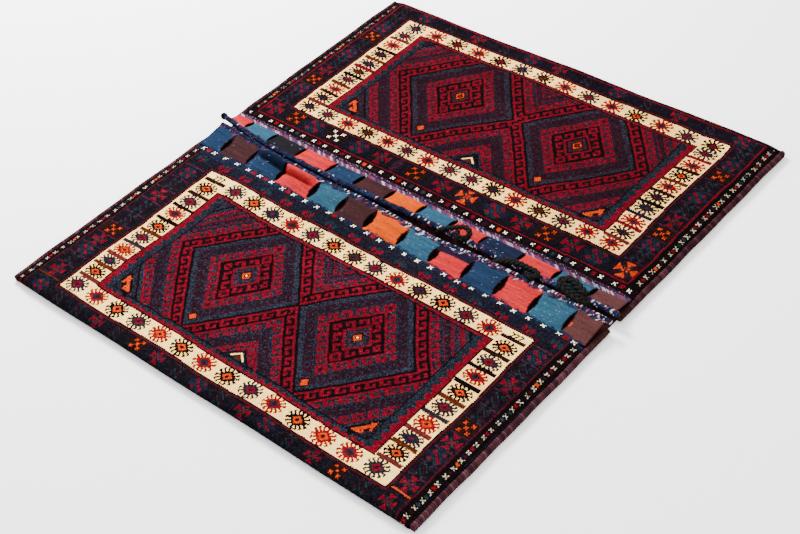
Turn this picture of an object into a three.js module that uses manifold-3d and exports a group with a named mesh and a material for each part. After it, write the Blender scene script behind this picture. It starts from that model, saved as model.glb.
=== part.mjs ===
// A double saddle bag lying open and flat: two pouches with knotted-pile faces, joined by one plain back cloth.
// Millimetres, +Z up. X runs along the two mouths, +Y towards the far pouch, and the bag rests on z = 0.
// Positions are from the middle of the cloth until the last line, which centres the whole part.
import * as THREE from "three";
import { mergeVertices } from "three/addons/utils/BufferGeometryUtils.js";
import Module from "manifold-3d";

const WIDTH = 1000; // the cloth with its side wraps
const LENGTH = 1114; // from one bottom fold to the other
const GAP = 0.3; // air between neighbouring pieces
const BACK_THICK = 3; // plain weave
const PILE_THICK = 6; // knotted pile with its foundation
const BAND_THICK = 3; // flat-woven band with the slits
const HOLLOW = 10; // height inside a pouch
const LIP = 34; // how far a face turns under at its bottom fold
const WRAP_WIDE = 10; // overcast side edges
const BINDING_R = 4.5; // corded mouth edges
const BINDING_OUT = 21; // how far the far binding reaches past the left edge
const LEAN = 11; // how far the mouths run towards +Y at the left edge and towards -Y at the right
const ROD_SIDES = 12;
const STRETCH = 40; // the bowed pieces are cut this fine along X

// Each pouch, with distances measured from y = 0 outwards: side is +1 for far and -1 for near.
// bow lists how far the mouth lies from its straight line, as [x, shift in y]; it is full as far as bowFull.
const NEAR = {
  side: -1,
  joint: 80, // pile meets slit band
  binding: { y: -15, z: 24.5 },
  slit: { middle: 50, long: 50, wide: 9 },
  slitsAt: [-434, -358, -272, -183, -108, -33, 51, 130, 208, 283, 360, 436],
  loopStart: 5,
  bow: [
    [-500, 0], [-400, -4], [-300, -10], [-200, -11], [-100, -8], [0, -10], [60, -12], [110, -12], [160, -9],
    [220, -5], [300, -2], [400, 0], [500, 0],
  ],
  bowFull: 20,
};
const FAR = {
  side: 1,
  joint: 48,
  binding: { y: 8, z: 22 },
  slit: { middle: 30, long: 26, wide: 8 },
  slitsAt: [-444, -370, -287, -203, -129, -49, 30, 106, 181, 267, 349, 427],
  loopStart: 2,
  bow: [
    [-521, 2], [-480, -4], [-435, -12], [-350, -20], [-200, -21], [-100, -18], [0, -12], [100, -7], [300, -5],
    [400, -4], [430, -1], [500, 0],
  ],
  bowFull: 13,
};

// Closing loops: a braid with an eye at its end, sewn to the back cloth between the mouths.
const LOOP_D = 7;
const LOOP_Z = BACK_THICK + GAP + LOOP_D / 2 + 0.2;
const LOOP_STEM = 88;
const EYE_R = 10;

// The three loops that lie outside, as routes of the braid's middle.
const OUTER_LOOPS = {
  far_loop_08: {
    d: 9.5,
    steps: 34,
    route: [
      [98, -9, 4.4], [98.5, -9, 14], [101, -9.2, 25], [108, -7, 32], [119, 1, 34.5], [131, 8, 37.5],
      [142, 12.5, 41], [153, 14, 43], [162.5, 10, 42.5], [167.5, 2.5, 40.5], [165.5, -5.5, 38.5],
      [158, -10.5, 37.5], [149, -9.5, 37.5], [143.5, -3.5, 38.5], [142.6, 1, 39.3],
    ],
  },
  near_loop_09: {
    d: 10,
    steps: 34,
    route: [
      [228, -8.6, 4.6], [230.5, -8.6, 14], [240, -8.6, 23.5], [255, -5, 30], [275, 0.5, 33], [292, 2.8, 33.5],
      [308, 3, 33.5], [322, 2.3, 34.5], [329, -1.2, 35], [330.9, -6.8, 35.2], [328, -12.6, 35.3],
      [322, -15, 35.3], [316, -12.8, 35.3], [313.3, -8.2, 35.4],
    ],
  },
  far_loop_12: {
    d: 12,
    steps: 30,
    route: [
      [452, -3.5, 4.8], [450, -3.5, 14], [446, -4, 24], [438, -6, 31], [426, -8, 33], [410, -6.5, 33.5],
      [393, -2.5, 34], [380, 4, 34.5], [375.5, 12, 34.8], [381, 19, 34.5], [393, 20.5, 34], [406, 16.5, 33.6],
      [420, 11, 33.4], [429.5, 6.8, 33.4],
    ],
  },
};

const wasm = await Module();
wasm.setup();

function toSolid(geometry) {
  const bare = geometry.clone();
  bare.deleteAttribute("normal");
  bare.deleteAttribute("uv");
  const merged = mergeVertices(bare, 1e-4);
  return new wasm.Manifold(
    new wasm.Mesh({
      numProp: 3,
      vertProperties: merged.attributes.position.array,
      triVerts: new Uint32Array(merged.index.array),
    }),
  );
}

function toGeometry(solid) {
  const mesh = solid.getMesh();
  return new THREE.BufferGeometry()
    .setAttribute("position", new THREE.BufferAttribute(new Float32Array(mesh.vertProperties), 3))
    .setIndex(new THREE.BufferAttribute(new Uint32Array(mesh.triVerts), 1))
    .toNonIndexed();
}

// The mouths and the bands beside them run at a slight slant; the bottom folds do not.
function slantShare(y) {
  const straight = LENGTH / 2 - LIP - 10;
  const knots = [
    [-straight, 0], [-NEAR.joint, 0.95], [-20, 1], [13, 1], [FAR.joint, 0.25], [straight, 0],
  ];
  return through(knots, y);
}

// Straight-line interpolation through [x, value] knots.
function through(knots, x) {
  for (let i = 1; i < knots.length; i++) {
    const [x0, v0] = knots[i - 1];
    const [x1, v1] = knots[i];
    if (x <= x1) return v0 + ((v1 - v0) * Math.max(0, x - x0)) / (x1 - x0);
  }
  return knots.at(-1)[1];
}

// The mouths don't run straight. Their bow dies out where the pile starts.
function bowAt(pouch, x, y) {
  const share = (pouch.joint - pouch.side * y) / (pouch.joint - pouch.bowFull);
  return Math.min(1, Math.max(0, share)) * through(pouch.bow, x);
}

function slant(geometry, bowed = null) {
  const at = geometry.attributes.position;
  for (let i = 0; i < at.count; i++) {
    const [x, y] = [at.getX(i), at.getY(i)];
    at.setY(i, y - ((LEAN * x) / (WIDTH / 2)) * slantShare(y) + (bowed ? bowAt(bowed, x, y) : 0));
  }
  geometry.computeVertexNormals();
  return geometry;
}

// Extrudes an outline of [y, z] points along X.
function alongX(points, x0, x1, steps) {
  const shape = new THREE.Shape(points.map(([y, z]) => new THREE.Vector2(y, z)));
  const geometry = new THREE.ExtrudeGeometry(shape, { depth: x1 - x0, steps, bevelEnabled: false });
  const turn = new THREE.Matrix4().makeBasis(
    new THREE.Vector3(0, 1, 0),
    new THREE.Vector3(0, 0, 1),
    new THREE.Vector3(1, 0, 0),
  );
  return geometry.applyMatrix4(turn).translate(x0, 0, 0);
}

function arc(cy, cz, r, from, to, steps) {
  return Array.from({ length: steps + 1 }, (_, i) => {
    const a = THREE.MathUtils.degToRad(from + ((to - from) * i) / steps);
    return [cy + r * Math.cos(a), cz + r * Math.sin(a)];
  });
}

// One face: the slit band, then the pile, round the bottom fold and a little way under the bag.
function faceSection(pouch) {
  const under = BACK_THICK + HOLLOW;
  const top = under + PILE_THICK;
  const fold = LENGTH / 2;
  const middle = top / 2;
  const mouth = Math.abs(pouch.binding.y) + BINDING_R + 4 * GAP;
  const mouthZ = pouch.binding.z - BAND_THICK / 2;
  const outward = [
    [mouth, mouthZ],
    [pouch.joint, under],
    ...arc(fold - middle, middle, under - middle, 90, -90, 6),
    [fold - LIP, PILE_THICK],
    [fold - LIP, 0],
    ...arc(fold - middle, middle, middle, -90, 90, 10),
    [pouch.joint + 4, top],
    [pouch.joint, under + BAND_THICK],
    [mouth, mouthZ + BAND_THICK],
  ];
  return outward.map(([s, z]) => [s * pouch.side, z]);
}

// A slit seen from above: wide in the middle, nearly closed at its two ends.
function slitCutter({ side, slit }, x) {
  const shape = new THREE.Shape();
  const shares = [-1, -0.6, 0, 0.6, 1];
  const half = (t) => (slit.wide / 2) * (1 - 0.85 * t * t);
  const rim = [
    ...shares.map((t) => new THREE.Vector2(half(t), (t * slit.long) / 2)),
    ...shares.toReversed().map((t) => new THREE.Vector2(-half(t), (t * slit.long) / 2)),
  ];
  shape.setFromPoints(rim);
  const geometry = new THREE.ExtrudeGeometry(shape, { depth: 60, bevelEnabled: false });
  return geometry.translate(x, side * slit.middle, -5);
}

function face(pouch) {
  const half = WIDTH / 2 - WRAP_WIDE - GAP;
  const steps = Math.round((2 * half) / STRETCH);
  let cloth = toSolid(alongX(faceSection(pouch), -half, half, steps));
  if (cloth.volume() < 0) throw new Error("the face section runs the wrong way round");
  for (const x of pouch.slitsAt) cloth = cloth.subtract(toSolid(slitCutter(pouch, x)));
  return slant(toGeometry(cloth), pouch);
}

function backCloth() {
  const half = WIDTH / 2 - WRAP_WIDE - GAP;
  const end = LENGTH / 2 - LIP - GAP;
  return new THREE.BoxGeometry(2 * half, 2 * end, BACK_THICK).translate(0, 0, BACK_THICK / 2);
}

// A rod with rounded ends along X.
function binding(pouch, x0, x1) {
  const { y, z } = pouch.binding;
  const long = x1 - x0 - 2 * BINDING_R;
  const cuts = Math.round(long / STRETCH);
  const profile = [
    ...arc(0, BINDING_R, BINDING_R, -90, 0, 3),
    ...Array.from({ length: cuts - 1 }, (_, i) => [BINDING_R, BINDING_R + (long * (i + 1)) / cuts]),
    ...arc(0, x1 - x0 - BINDING_R, BINDING_R, 0, 90, 3),
  ].map(([r, a]) => new THREE.Vector2(Math.max(r, 0), a));
  profile[0].x = 0;
  profile[profile.length - 1].x = 0;
  const rod = new THREE.LatheGeometry(profile, ROD_SIDES).rotateZ(-Math.PI / 2).translate(x0, y, z);
  return slant(toGeometry(toSolid(rod)), pouch);
}

// An overcast side edge: a flat bar with rounded long edges, from the mouth to the bottom fold.
function sideWrap(pouch, hand) {
  const high = BACK_THICK + HOLLOW + PILE_THICK;
  const from = Math.abs(pouch.binding.y) + BINDING_R + 2 * GAP;
  const to = LENGTH / 2 - 3;
  const inner = WIDTH / 2 - WRAP_WIDE;
  const outer = WIDTH / 2;
  const round = 4;
  const section = [
    [inner, 0.5],
    ...arc(outer - round, round, round, -90, 0, 3),
    ...arc(outer - round, high - round, round, 0, 90, 3),
    [inner, high - 0.5],
  ].map(([x, z]) => new THREE.Vector2(x * hand, z));
  const shape = new THREE.Shape(hand > 0 ? section : section.toReversed());
  const bar = new THREE.ExtrudeGeometry(shape, { depth: to - from, steps: 4, bevelEnabled: false });
  bar.rotateX(Math.PI / 2).translate(0, pouch.side > 0 ? to : -from, 0);
  return slant(toGeometry(toSolid(bar)));
}

function braid(route, d, steps) {
  const path = new THREE.CatmullRomCurve3(route.map((p) => new THREE.Vector3(...p)), false, "centripetal");
  const section = new THREE.Shape(
    Array.from({ length: 8 }, (_, i) => {
      const a = ((i + 0.5) * Math.PI) / 4;
      return new THREE.Vector2((d / 2) * Math.cos(a), (d / 2) * Math.sin(a));
    }),
  );
  const geometry = new THREE.ExtrudeGeometry(section, { steps, extrudePath: path, bevelEnabled: false });
  return slant(geometry);
}

// A loop tucked into its pouch below its own slit: the stem runs straight in and its end turns into an eye.
function tuckedRoute(pouch, x) {
  const point = (dx, s) => [x + dx, pouch.side * s, LOOP_Z];
  const end = pouch.loopStart + LOOP_STEM;
  const stem = [0, 0.35, 0.7, 1].map((t) => point(0, pouch.loopStart + LOOP_STEM * t));
  const eye = [30, 60, 90, 120, 150, 180, 210, 240, 270].map((turn) => {
    const a = THREE.MathUtils.degToRad(turn);
    return point(EYE_R * (1 - Math.cos(a)), end + EYE_R * Math.sin(a));
  });
  return [...stem, ...eye];
}

const LOOKS = {
  back: { color: 0x5b2f33, roughness: 0.95 },
  pile: { color: 0x3a1c33, roughness: 1 },
  binding: { color: 0x3b4f8c, roughness: 0.9 },
  wrap: { color: 0x4a2a35, roughness: 0.95 },
  hair: { color: 0x231f20, roughness: 0.85 },
};

const group = new THREE.Group();
function add(name, geometry, look) {
  const mesh = new THREE.Mesh(geometry, new THREE.MeshStandardMaterial({ ...LOOKS[look], metalness: 0 }));
  mesh.name = name;
  group.add(mesh);
}

add("back_cloth", backCloth(), "back");
for (const [label, pouch] of [["near", NEAR], ["far", FAR]]) {
  add(`${label}_face`, face(pouch), "pile");
  const left = -WIDTH / 2 - (pouch === FAR ? BINDING_OUT : 0);
  add(`${label}_mouth_binding`, binding(pouch, left, WIDTH / 2), "binding");
  add(`${label}_left_wrap`, sideWrap(pouch, -1), "wrap");
  add(`${label}_right_wrap`, sideWrap(pouch, 1), "wrap");
  pouch.slitsAt.forEach((x, i) => {
    const name = `${label}_loop_${String(i + 1).padStart(2, "0")}`;
    const outer = OUTER_LOOPS[name];
    const geometry = outer
      ? braid(outer.route, outer.d, outer.steps)
      : braid(tuckedRoute(pouch, x), LOOP_D, 24);
    add(name, geometry, "hair");
  });
}
group.position.x = BINDING_OUT / 2;

export default group;
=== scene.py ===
"""Looks of the double saddle bag: knotted pile, slit bands, corded mouths, overcast sides and braided loops.
Lengths inside the drawing code are millimetres from the middle of the cloth.
Meshes are made in metres, in the row's frame."""

import math

import bpy
import numpy as np
from mathutils import Matrix, Vector


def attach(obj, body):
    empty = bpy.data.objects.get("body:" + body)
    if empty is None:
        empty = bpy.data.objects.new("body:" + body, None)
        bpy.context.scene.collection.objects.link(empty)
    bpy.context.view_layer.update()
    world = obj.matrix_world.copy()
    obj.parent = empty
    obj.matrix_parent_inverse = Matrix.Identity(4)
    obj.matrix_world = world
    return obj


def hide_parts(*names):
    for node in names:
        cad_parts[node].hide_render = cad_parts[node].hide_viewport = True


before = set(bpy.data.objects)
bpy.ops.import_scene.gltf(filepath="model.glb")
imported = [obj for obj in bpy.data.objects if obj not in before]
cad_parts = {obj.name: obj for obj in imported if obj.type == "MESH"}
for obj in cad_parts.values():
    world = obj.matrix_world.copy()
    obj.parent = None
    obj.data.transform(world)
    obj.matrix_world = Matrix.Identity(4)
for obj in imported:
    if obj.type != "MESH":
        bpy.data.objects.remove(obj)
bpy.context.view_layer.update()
rng = np.random.default_rng(11)

MM = 0.001
CLOTH_X = 10.5  # the cloth's middle from the row's origin: the far binding reaches past the left edge
HALF_WIDTH = 500.0  # to the outside of a side wrap
WRAP = 10.0  # width of a side wrap
FOLD = 557.0  # to the bottom fold of either pouch
TOP = 19.0  # upper surface of the pile
PILE = 6.0  # thickness of a face
HOLLOW_TOP = TOP - PILE
LIP = 34.0  # how far a face is turned under at its fold
LEAN = 11.0  # how far the mouths have slid along the bag at the sides

NEAR = dict(
    name="near", side=-1, joint=80.0, binding=(-15.0, 24.5), slit=(50.0, 50.0, 9.0),
    bow_full=20.0,
    slits=[-434, -358, -272, -183, -108, -33, 51, 130, 208, 283, 360, 436], start=5.0,
    bow=[(-500, 0), (-400, -4), (-300, -10), (-200, -11), (-100, -8), (0, -10), (60, -12),
         (110, -12), (160, -9), (220, -5), (300, -2), (400, 0), (500, 0)],
)
FAR = dict(
    name="far", side=1, joint=48.0, binding=(8.0, 22.0), slit=(30.0, 26.0, 8.0), bow_full=13.0,
    slits=[-444, -370, -287, -203, -129, -49, 30, 106, 181, 267, 349, 427], start=2.0,
    bow=[(-521, 2), (-480, -4), (-435, -12), (-350, -20), (-200, -21), (-100, -18), (0, -12),
         (100, -7), (300, -5), (400, -4), (430, -1), (500, 0)],
)


# ---------------------------------------------------------------- camera
camera = bpy.data.objects.new("camera", bpy.data.cameras.new("camera"))
bpy.context.scene.collection.objects.link(camera)
bpy.context.scene.camera = camera
CAMERA_PLACE = Vector((1.5533, -1.5147, 1.8469))
CAMERA_AIM = Vector((0.0963, -0.1075, 0.0))
CAMERA_ROLL = math.radians(-7.83)
turn = (CAMERA_AIM - CAMERA_PLACE).to_track_quat("-Z", "Y").to_matrix().to_4x4()
camera.matrix_world = Matrix.Translation(CAMERA_PLACE) @ turn @ Matrix.Rotation(CAMERA_ROLL, 4, "Z")
camera.data.sensor_width = 36
camera.data.lens = 66.8
camera.data.clip_end = 50


# ---------------------------------------------------------------- helpers
def ramp(v, knots):
    """The value at v on straight lines through the knots."""
    xs, ys = zip(*knots)
    return np.interp(v, xs, ys)


def waves(x, y, scale, seed, count=6):
    """Smooth random waves, about -1 to 1, over mm coordinates."""
    r = np.random.default_rng(seed)
    total = np.zeros(np.broadcast(x, y).shape)
    for _ in range(count):
        a = r.uniform(0, 2 * math.pi)
        k = 2 * math.pi / (scale * r.uniform(0.7, 1.6))
        total = total + np.sin(k * (x * math.cos(a) + y * math.sin(a)) + r.uniform(0, 6.28))
    return total / math.sqrt(count * 1.3)


STRAIGHT = FOLD - LIP - 10
MOUTH_SHARE = [(-STRAIGHT, 0), (-80, 0.95), (-20, 1), (13, 1), (48, 0.25), (STRAIGHT, 0)]
CLOTH_SHARE = [(-300, 0), (-130, 0.45), (-80, 0.95), (-20, 1), (13, 1), (48, 0.25), (130, 0), (300, 0)]


def slant(x, y, knots=MOUTH_SHARE):
    """Where a point of the cloth lies in y once the mouths lean across the bag."""
    return y - LEAN * x / HALF_WIDTH * ramp(y, knots)


def bow(pouch, x, d):
    """How far a mouth and its band swing in y; the swing dies out where the pile starts."""
    share = (pouch["joint"] - d) / (pouch["joint"] - pouch["bow_full"])
    return np.clip(share, 0, 1) * ramp(x, pouch["bow"])


def sag(x, y):
    """How uneven the cloth lies, in mm, over its flat height."""
    return 1.5 * waves(x, y, 330, 5) + 0.6 * waves(x, y, 120, 6)


def linear(rgb):
    """An 8-bit sRGB colour as linear light."""
    c = np.asarray(rgb, float) / 255
    return np.where(c <= 0.04045, c / 12.92, ((c + 0.055) / 1.055) ** 2.4)


def mesh_object(name, points, faces):
    """points in mm from the cloth's middle."""
    mesh = bpy.data.meshes.new(name)
    pts = np.asarray(points, float).reshape(-1, 3).copy()
    pts[:, 0] += CLOTH_X
    mesh.from_pydata((pts * MM).tolist(), [], faces.tolist() if hasattr(faces, "tolist") else faces)
    mesh.update()
    mesh.shade_smooth()
    obj = bpy.data.objects.new(name, mesh)
    bpy.context.scene.collection.objects.link(obj)
    return obj


def grid_faces(rows, cols, start=0, closed=False):
    """Quads of a rows x cols grid of points; closed joins the last column to the first."""
    i = np.arange(rows - 1)[:, None]
    j = np.arange(cols if closed else cols - 1)[None, :]
    n = (j + 1) % cols
    a = start + i * cols + j
    b = start + i * cols + n
    c = start + (i + 1) * cols + n
    d = start + (i + 1) * cols + j
    return np.stack([a, b, c, d], -1).reshape(-1, 4)


def paint(obj, rgb, domain):
    """One linear colour for each face or each point."""
    mesh = obj.data
    layer = mesh.attributes.new("dye", "FLOAT_COLOR", domain)
    flat = np.ones((len(mesh.polygons if domain == "FACE" else mesh.vertices), 4))
    flat[: len(rgb), :3] = rgb
    layer.data.foreach_set("color", flat.ravel())


def set_uv(obj, per_vertex):
    mesh = obj.data
    index = np.empty(len(mesh.loops), int)
    mesh.loops.foreach_get("vertex_index", index)
    layer = mesh.uv_layers.new(name="knots")
    layer.data.foreach_set("uv", per_vertex[index].ravel())


# ---------------------------------------------------------------- materials
class Nodes:
    """Shorthand for building a material's nodes."""

    def __init__(self, name):
        self.material = bpy.data.materials.new(name)
        self.material.use_nodes = True
        self.tree = self.material.node_tree
        self.shader = self.tree.nodes["Principled BSDF"]
        self.shader.inputs["Metallic"].default_value = 0.0

    def add(self, kind, **settings):
        node = self.tree.nodes.new("ShaderNode" + kind)
        for key, value in settings.items():
            setattr(node, key, value)
        return node

    def link(self, output, socket):
        self.tree.links.new(output, socket)

    def math(self, operation, a, b=0.0):
        node = self.add("Math", operation=operation)
        for i, v in enumerate((a, b)):
            if hasattr(v, "links"):
                self.link(v, node.inputs[i])
            else:
                node.inputs[i].default_value = v
        return node.outputs[0]

    def mix(self, factor, a, b):
        node = self.add("Mix", data_type="RGBA")
        for i, v in ((0, factor), (6, a), (7, b)):
            if hasattr(v, "links"):
                self.link(v, node.inputs[i])
            else:
                node.inputs[i].default_value = v if i == 0 else (*v, 1.0)
        return node.outputs[2]

    def dye(self):
        return self.add("Attribute", attribute_name="dye").outputs["Color"]

    def coords(self, scale=(1, 1, 1)):
        where = self.add("TexCoord").outputs["Object"]
        mapping = self.add("Mapping")
        mapping.inputs["Scale"].default_value = scale
        self.link(where, mapping.inputs["Vector"])
        return mapping.outputs[0]

    def noise(self, vector, scale, detail=3.0, rough=0.6):
        node = self.add("TexNoise")
        self.link(vector, node.inputs["Vector"])
        node.inputs["Scale"].default_value = scale
        node.inputs["Detail"].default_value = detail
        node.inputs["Roughness"].default_value = rough
        return node.outputs["Fac"]

    def bump(self, height, strength, distance):
        node = self.add("Bump")
        node.inputs["Strength"].default_value = strength
        node.inputs["Distance"].default_value = distance
        self.link(height, node.inputs["Height"])
        self.link(node.outputs[0], self.shader.inputs["Normal"])

    def wool(self, roughness):
        self.shader.inputs["Roughness"].default_value = roughness
        self.shader.inputs["Specular IOR Level"].default_value = 0.0

    def shade(self, colour, factor, low, high):
        """The colour times a grey between low and high."""
        span = self.add("MapRange")
        self.link(factor, span.inputs["Value"])
        span.inputs["From Min"].default_value = 0.3
        span.inputs["From Max"].default_value = 0.7
        span.inputs["To Min"].default_value = low
        span.inputs["To Max"].default_value = high
        scale = self.add("VectorMath", operation="SCALE")
        self.link(colour, scale.inputs[0])
        self.link(span.outputs[0], scale.inputs["Scale"])
        return scale.outputs[0]


def pile_material():
    n = Nodes("knotted_pile")
    uv = n.add("UVMap", uv_map="knots").outputs[0]
    split = n.add("SeparateXYZ")
    n.link(uv, split.inputs[0])
    dome = []
    for axis in (0, 1):
        part = n.math("FRACT", split.outputs[axis])
        part = n.math("MULTIPLY", part, math.pi)
        dome.append(n.math("SINE", part))
    knot = n.math("POWER", n.math("MULTIPLY", dome[0], dome[1]), 0.6)
    fibre = n.noise(n.coords((1, 1, 0.4)), 900, 3, 0.7)
    clump = n.noise(n.coords(), 160, 3, 0.6)
    height = n.math("ADD", n.math("MULTIPLY", knot, 0.55), n.math("MULTIPLY", fibre, 0.7))
    height = n.math("ADD", height, n.math("MULTIPLY", clump, 0.6))
    n.bump(height, 0.55, 0.0018)
    colour = n.shade(n.dye(), fibre, 0.72, 1.24)
    colour = n.shade(colour, clump, 0.85, 1.15)
    # painted shade between the knots: each knot's colour darkens from its top towards its edges
    depth = n.math("ADD", n.math("MULTIPLY", knot, 0.35), 0.72)
    scale = n.add("VectorMath", operation="SCALE")
    n.link(colour, scale.inputs[0])
    n.link(depth, scale.inputs["Scale"])
    n.link(scale.outputs[0], n.shader.inputs["Base Color"])
    n.wool(0.95)
    return n.material


def flatweave_material(name, ribs, cross, depth):
    """Weft-faced weave: ribs is the stretch along X, cross the fineness of the rows."""
    n = Nodes(name)
    rows = n.noise(n.coords((ribs, cross, cross)), 1.0, 2, 0.5)
    speck = n.noise(n.coords(), 700, 2, 0.6)
    wave = n.add("TexWave", wave_type="BANDS", bands_direction="X")
    n.link(n.coords(), wave.inputs["Vector"])
    wave.inputs["Scale"].default_value = 95
    wave.inputs["Distortion"].default_value = 1.2
    wave.inputs["Detail"].default_value = 1.0
    height = n.math("ADD", rows, n.math("MULTIPLY", wave.outputs["Fac"], 0.35))
    height = n.math("ADD", height, n.math("MULTIPLY", speck, 0.3))
    n.bump(height, 0.7, depth)
    colour = n.shade(n.dye(), rows, 0.78, 1.2)
    colour = n.shade(colour, speck, 0.88, 1.12)
    n.link(colour, n.shader.inputs["Base Color"])
    n.wool(0.95)
    return n.material


def yarn_material():
    n = Nodes("overcast_yarn")
    fibre = n.noise(n.coords(), 1400, 3, 0.7)
    clump = n.noise(n.coords(), 260, 2, 0.5)
    n.bump(n.math("ADD", fibre, n.math("MULTIPLY", clump, 0.6)), 0.6, 0.0009)
    colour = n.shade(n.dye(), fibre, 0.75, 1.22)
    n.link(colour, n.shader.inputs["Base Color"])
    n.wool(0.9)
    return n.material


def hair_material():
    n = Nodes("goat_hair")
    fibre = n.noise(n.coords(), 1600, 3, 0.7)
    clump = n.noise(n.coords(), 300, 3, 0.6)
    mixed = n.mix(clump, (0.001, 0.001, 0.001), (0.0062, 0.0056, 0.0040))
    colour = n.shade(mixed, fibre, 0.6, 1.5)
    n.link(colour, n.shader.inputs["Base Color"])
    n.bump(n.math("ADD", fibre, clump), 0.7, 0.0010)
    n.wool(0.7)
    n.shader.inputs["Specular IOR Level"].default_value = 0.04
    return n.material


# ---------------------------------------------------------------- loops
def through(route, spacing):
    """A centripetal Catmull-Rom line through the route's points, resampled evenly."""
    p = np.array(route, float)
    p = np.vstack([2 * p[0] - p[1], p, 2 * p[-1] - p[-2]])
    line = []
    for k in range(1, len(p) - 2):
        t = [0.0]
        for a in range(3):
            t.append(t[-1] + max(np.linalg.norm(p[k + a] - p[k + a - 1]) ** 0.5, 1e-6))
        for u in np.linspace(t[1], t[2], 12, endpoint=False):
            a = [((t[i + 1] - u) * p[k - 1 + i] + (u - t[i]) * p[k + i]) / (t[i + 1] - t[i])
                 for i in range(3)]
            b = [((t[i + 2] - u) * a[i] + (u - t[i]) * a[i + 1]) / (t[i + 2] - t[i]) for i in range(2)]
            line.append(((t[2] - u) * b[0] + (u - t[1]) * b[1]) / (t[2] - t[1]))
    line.append(p[-2])
    line = np.array(line)
    run = np.concatenate([[0], np.cumsum(np.linalg.norm(np.diff(line, axis=0), axis=1))])
    at = np.linspace(0, run[-1], max(8, int(run[-1] / spacing)))
    return np.stack([np.interp(at, run, line[:, i]) for i in range(3)], 1)


def frames(line):
    """Two unit vectors across the line at each point, carried along without twisting."""
    ahead = np.gradient(line, axis=0)
    ahead /= np.linalg.norm(ahead, axis=1)[:, None]
    across = np.cross(ahead[0], (0, 0, 1.0))
    if np.linalg.norm(across) < 0.2:
        across = np.array((0, -1.0, 0))
    first = []
    for t in ahead:
        across = across - t * np.dot(across, t)
        across /= np.linalg.norm(across)
        first.append(across.copy())
    first = np.array(first)
    return first, np.cross(ahead, first)


def tube(line, side, up, radius, sides):
    """Points and faces of a tube; radius is one number or one for each point of the line."""
    a = np.arange(sides) * 2 * math.pi / sides
    r = np.broadcast_to(np.asarray(radius, float), (len(line),))[:, None, None]
    ring = side[:, None, :] * np.cos(a)[None, :, None] + up[:, None, :] * np.sin(a)[None, :, None]
    points = (line[:, None, :] + ring * r).reshape(-1, 3)
    faces = grid_faces(len(line), sides, closed=True).tolist()
    faces.append(list(range(sides))[::-1])
    faces.append([(len(line) - 1) * sides + k for k in range(sides)])
    return points, faces


def braid(name, route, d, spacing, sides, fuzz, flat=(1.0, 1.0)):
    """A three-strand braid along the route, with stray hairs.
    Flat above 1 spreads its stem and its eye sideways."""
    line = through(route, spacing)
    line[:, 1] = slant(line[:, 0], line[:, 1])
    side, up = frames(line)
    run = np.concatenate([[0], np.cumsum(np.linalg.norm(np.diff(line, axis=0), axis=1))])
    pitch = 3.0 * d
    points, faces = [], []
    for k in range(3):
        phase = 2 * math.pi * (run / pitch + k / 3)
        wide = ramp(run / run[-1], [(0.12, 1), (0.25, flat[0]), (0.42, flat[0]), (0.58, flat[1]),
                                    (1, flat[1])])
        strand = line + side * (0.24 * wide * d * np.sin(phase))[:, None]
        strand = strand + up * (0.15 * d * np.sin(2 * phase))[:, None]
        s, u = frames(strand)
        swell = 0.29 * d * (1 + 0.06 * np.sin(run * 2.1 + k)) * (0.9 + 0.1 * wide)
        pts, fcs = tube(strand, s, u, swell, sides)
        base = sum(len(p) for p in points)
        points.append(pts)
        faces += [[base + i for i in f] for f in fcs]
    base = sum(len(p) for p in points)
    stray = []
    for k in range(int(run[-1] * fuzz)):
        i = rng.integers(2, len(line) - 2)
        a = rng.uniform(0, 2 * math.pi)
        out = side[i] * math.cos(a) + up[i] * math.sin(a)
        along = (line[i + 1] - line[i - 1]) / np.linalg.norm(line[i + 1] - line[i - 1])
        root = line[i] + out * 0.40 * d
        lean = rng.uniform(-1, 1)
        tip = root + out * rng.uniform(0.6, 1.9) + along * lean * rng.uniform(1.5, 4.0)
        wide = np.cross(out, along) * 0.16
        stray += [root - wide, root + wide, tip]
        faces.append([base + 3 * k, base + 3 * k + 1, base + 3 * k + 2])
    if stray:
        points.append(np.array(stray))
    obj = mesh_object(f"{name}_braid", np.vstack(points), faces)
    obj.data.materials.append(hair)
    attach(obj, "root")
    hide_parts(name)
    path = line.copy()
    path[:, 0] += CLOTH_X
    path = (path * MM).tolist()
    return obj


hair = hair_material()
LOOP_D, LOOP_Z, LOOP_STEM, EYE_R = 7.0, 7.0, 88.0, 10.0
OUTER = {
    "far_loop_08": (9.5, (2.0, 1.4), [
        (98, -9, 4.4), (98.5, -9, 14), (101, -9.2, 25), (108, -7, 32), (119, 1, 34.5), (131, 8, 37.5),
        (142, 12.5, 41), (153, 14, 43), (162.5, 10, 42.5), (167.5, 2.5, 40.5), (165.5, -5.5, 38.5),
        (158, -10.5, 37.5), (149, -9.5, 37.5), (143.5, -3.5, 38.5), (142.6, 1, 39.3),
    ]),
    "near_loop_09": (10.0, (2.0, 1.4), [
        (228, -8.6, 4.6), (230.5, -8.6, 14), (240, -8.6, 23.5), (255, -5, 30), (275, 0.5, 33), (292, 2.8,
                                                                                                33.5),
        (308, 3, 33.5), (322, 2.3, 34.5), (329, -1.2, 35), (330.9, -6.8, 35.2), (328, -12.6, 35.3),
        (322, -15, 35.3), (316, -12.8, 35.3), (313.3, -8.2, 35.4),
    ]),
    "far_loop_12": (12.0, (1.8, 1.95), [
        (452, -3.5, 4.8), (450, -3.5, 14), (446, -4, 24), (438, -6, 31), (426, -8, 33), (410, -6.5, 33.5),
        (393, -2.5, 34), (380, 4, 34.5), (375.5, 12, 34.8), (381, 19, 34.5), (393, 20.5, 34), (406, 16.5,
                                                                                               33.6),
        (420, 11, 33.4), (429.5, 6.8, 33.4),
    ]),
}


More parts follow.
